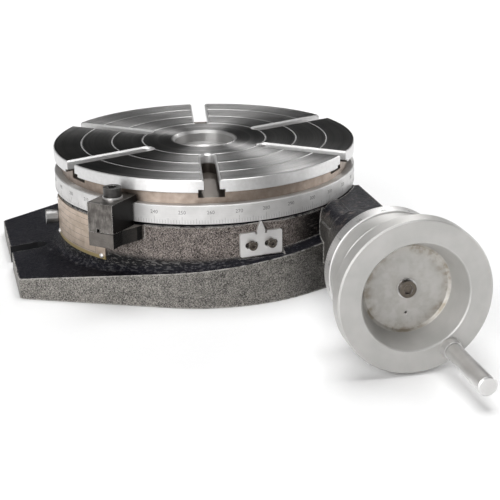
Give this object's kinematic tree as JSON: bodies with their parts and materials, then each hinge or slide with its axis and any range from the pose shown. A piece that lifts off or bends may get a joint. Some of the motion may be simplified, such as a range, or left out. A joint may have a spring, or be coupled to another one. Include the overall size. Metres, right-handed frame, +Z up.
{
  "type": "rotary table",
  "caption": "Round T-slotted work table on a cast base with hold-down ears, turned by a worm drive with a dished handwheel, graduated dial and edge clamps.",
  "frame": {"origin": "on the table's axis, in the plane of the base's flat bottom face", "axes": "+Z up along the table's axis; the worm shaft and handwheel run along -Y; X runs from ear to ear, with the worm on the +X side"},
  "size_m": [0.33, 0.487, 0.1115],
  "materials": {
    "black_paint": "rough sprayed black enamel with a fine grain",
    "ground_iron": "ground, with fine turning marks",
    "machined_iron": "turned",
    "satin_steel": "satin turned",
    "bright_steel": "polished",
    "dark_steel": "dark machined",
    "black_oxide_steel": "black oxide",
    "bearing_steel": "polished",
    "bronze": "machined bronze",
    "brass_plate": "brushed",
    "satin_aluminium": "matte satin"
  },
  "bodies": {
    "base": {"base_casting": "black_paint", "table_way_ring": "machined_iron", "spindle_bush": "bronze", "thrust_washer": "bronze", "bottom_cover": "dark_steel", "bottom_cover_screws": "black_oxide_steel", "nameplate": "brass_plate", "nameplate_rivets": "bright_steel", "pointer_plate": "bright_steel", "pointer_screws": "black_oxide_steel", "side_oiler": "bright_steel", "oil_filler_plug": "black_oxide_steel", "worm_bush_inner": "bronze", "worm_bush_far": "bronze", "bearing_sleeve": "dark_steel", "bearing_sleeve_screws": "black_oxide_steel", "bearing_outer_race": "bearing_steel", "bearing_balls": "bearing_steel"},
    "table": {"rotary_platter": "ground_iron", "graduated_ring": "satin_steel", "worm_wheel": "bronze", "worm_wheel_screws": "black_oxide_steel", "centre_sleeve": "bright_steel", "spindle_nut": "dark_steel"},
    "worm": {"worm_shaft": "bright_steel", "bearing_inner_race": "bearing_steel", "thrust_collar": "bright_steel", "dial_hub": "bright_steel", "handwheel": "satin_aluminium", "handwheel_key": "bright_steel", "handwheel_washer": "bright_steel", "handwheel_screw": "black_oxide_steel", "handle_stem": "bright_steel"},
    "dial": {"dial_ring": "satin_steel"},
    "dial_lock": {"dial_lock_screw": "bright_steel"},
    "grip": {"handle_grip": "bright_steel"},
    "front_clamp": {"front_clamp_jaw": "dark_steel", "front_clamp_washer": "bright_steel"},
    "front_screw": {"front_clamp_screw": "black_oxide_steel"},
    "rear_clamp": {"rear_clamp_jaw": "dark_steel", "rear_clamp_washer": "bright_steel"},
    "rear_screw": {"rear_clamp_screw": "black_oxide_steel"}
  },
  "joints": [
    {"name": "table_spin", "type": "hinge", "parent": "base", "child": "table", "pos_m": [0, 0, 0.06], "axis": [0, 0, 1], "continuous": true},
    {"name": "handwheel_spin", "type": "hinge", "parent": "base", "child": "worm", "pos_m": [0.083, 0, 0.0565], "axis": [0, -1, 0], "continuous": true},
    {"name": "dial_set", "type": "hinge", "parent": "worm", "child": "dial", "pos_m": [0.083, 0, 0.0565], "axis": [0, -1, 0], "continuous": true},
    {"name": "dial_lock_turn", "type": "hinge", "parent": "dial", "child": "dial_lock", "pos_m": [0.11468, -0.228, 0.02482], "axis": [0.7071, 0, -0.7071], "range_deg": [0, 180]},
    {"name": "grip_spin", "type": "hinge", "parent": "worm", "child": "grip", "pos_m": [0.10827, -0.32, 0.01759], "axis": [0, -1, 0], "continuous": true},
    {"name": "front_clamp_lift", "type": "slide", "parent": "base", "child": "front_clamp", "axis": [0, 0, 1], "range_m": [0, 0.0035]},
    {"name": "front_clamp_turn", "type": "hinge", "parent": "front_clamp", "child": "front_screw", "pos_m": [-0.09256, -0.10101, 0.09], "axis": [0, 0, 1], "range_deg": [0, 1008]},
    {"name": "rear_clamp_lift", "type": "slide", "parent": "base", "child": "rear_clamp", "axis": [0, 0, 1], "range_m": [0, 0.0035]},
    {"name": "rear_clamp_turn", "type": "hinge", "parent": "rear_clamp", "child": "rear_screw", "pos_m": [0.09256, 0.10101, 0.09], "axis": [0, 0, 1], "range_deg": [0, 1008]}
  ],
  "couplings": [
    {"joint": "handwheel_spin", "follows": "table_spin", "ratio": 72},
    {"joint": "front_clamp_turn", "follows": "front_clamp_lift", "rad_per_m": 5026.5},
    {"joint": "rear_clamp_turn", "follows": "rear_clamp_lift", "rad_per_m": 5026.5}
  ]
}
